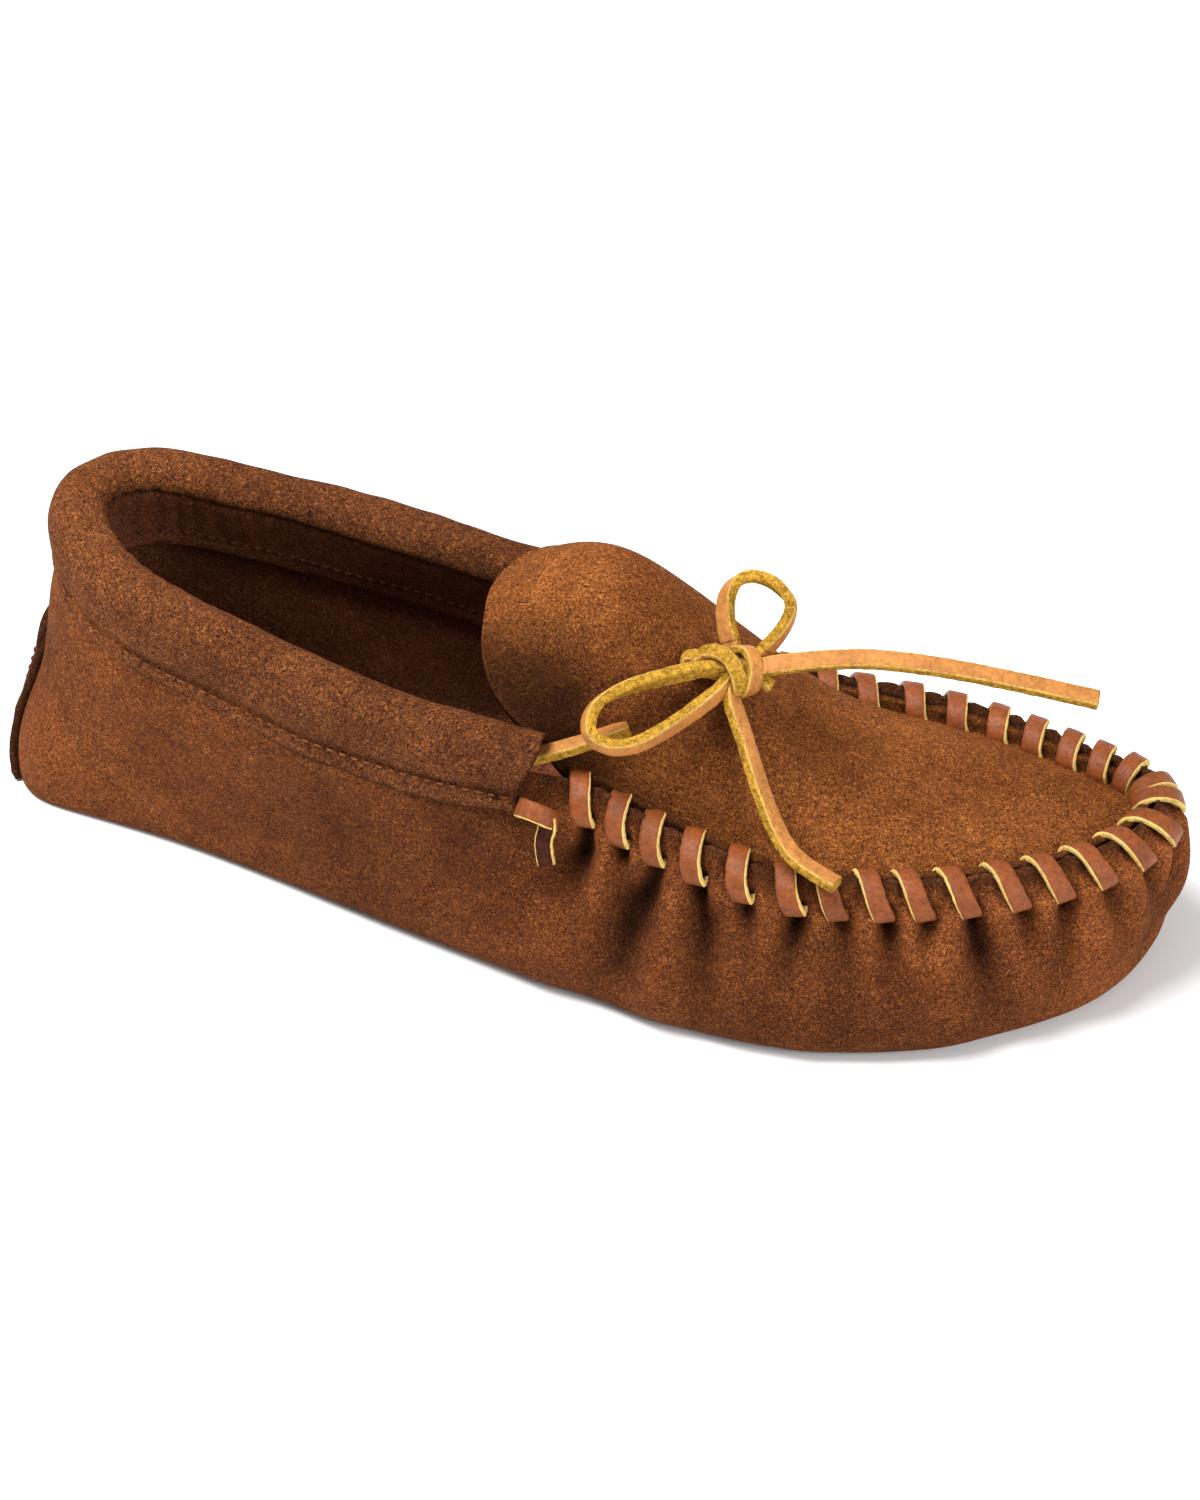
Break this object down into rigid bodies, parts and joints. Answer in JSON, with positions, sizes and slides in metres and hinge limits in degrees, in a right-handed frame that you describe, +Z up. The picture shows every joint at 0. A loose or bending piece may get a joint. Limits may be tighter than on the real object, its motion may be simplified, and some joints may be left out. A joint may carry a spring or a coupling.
{
  "type": "moccasin",
  "caption": "Low soft-soled leather moccasin for the right foot with a padded laced collar, whip-laced apron, flap tongue and bow.",
  "frame": {"origin": "middle of the footprint, on the floor, at the underside of the sole", "axes": "+X towards the toe, +Y towards the inner side of a right foot, +Z up"},
  "size_m": [0.2901, 0.1081, 0.0947],
  "materials": {
    "suede_body": "napped suede",
    "suede_apron": "napped suede",
    "suede_tongue": "napped suede",
    "suede_collar": "napped suede",
    "padding": "soft felt",
    "suede_tab": "napped suede",
    "heel_thread": "waxed thread",
    "collar_thread": "waxed thread",
    "inner_thread": "waxed thread",
    "foam": "closed-cell foam",
    "lining": "napped suede",
    "thong_brown": "smooth grain with pale cut edges",
    "thong_tan": "smooth grain on one side, rough on the other"
  },
  "bodies": {
    "shoe": {"body_wrap": "suede_body", "apron": "suede_apron", "collar_cuff": "suede_collar", "collar_padding": "padding", "heel_tab": "suede_tab", "heel_stitching": "heel_thread", "collar_outer_stitching": "collar_thread", "collar_inner_stitching": "inner_thread", "insole_foam": "foam", "insole_cover": "lining", "whip_lacing": "thong_brown", "whip_end_outer": "thong_brown", "whip_end_inner": "thong_brown", "collar_lace": "thong_tan", "lace_feed_outer": "thong_tan", "lace_feed_inner": "thong_tan", "bow_knot": "thong_tan"},
    "tongue": {"tongue_flap": "suede_tongue"},
    "loop_outer": {"bow_loop_outer": "thong_tan"},
    "loop_inner": {"bow_loop_inner": "thong_tan"},
    "end_front": {"lace_end_front": "thong_tan"},
    "end_side": {"lace_end_side": "thong_tan"}
  },
  "joints": [
    {"name": "tongue_lift", "type": "hinge", "parent": "shoe", "child": "tongue", "pos_m": [0.0116, 0.0001, 0.0875], "axis": [0, 1, 0], "range_deg": [0, 25]},
    {"name": "loop_outer_flop", "type": "hinge", "parent": "shoe", "child": "loop_outer", "pos_m": [0.0419, -0.0084, 0.0743], "axis": [-0.727, 0.6866, 0], "range_deg": [-3, 20]},
    {"name": "loop_inner_flop", "type": "hinge", "parent": "shoe", "child": "loop_inner", "pos_m": [0.0419, -0.0084, 0.0743], "axis": [1, 0, 0], "range_deg": [-9, 9]},
    {"name": "end_front_flop", "type": "hinge", "parent": "shoe", "child": "end_front", "pos_m": [0.0419, -0.0084, 0.0743], "axis": [0.3271, -0.945, 0], "range_deg": [-8, 9]},
    {"name": "end_side_flop", "type": "hinge", "parent": "shoe", "child": "end_side", "pos_m": [0.0419, -0.0084, 0.0743], "axis": [-0.6139, -0.7894, 0], "range_deg": [0, 20]}
  ]
}
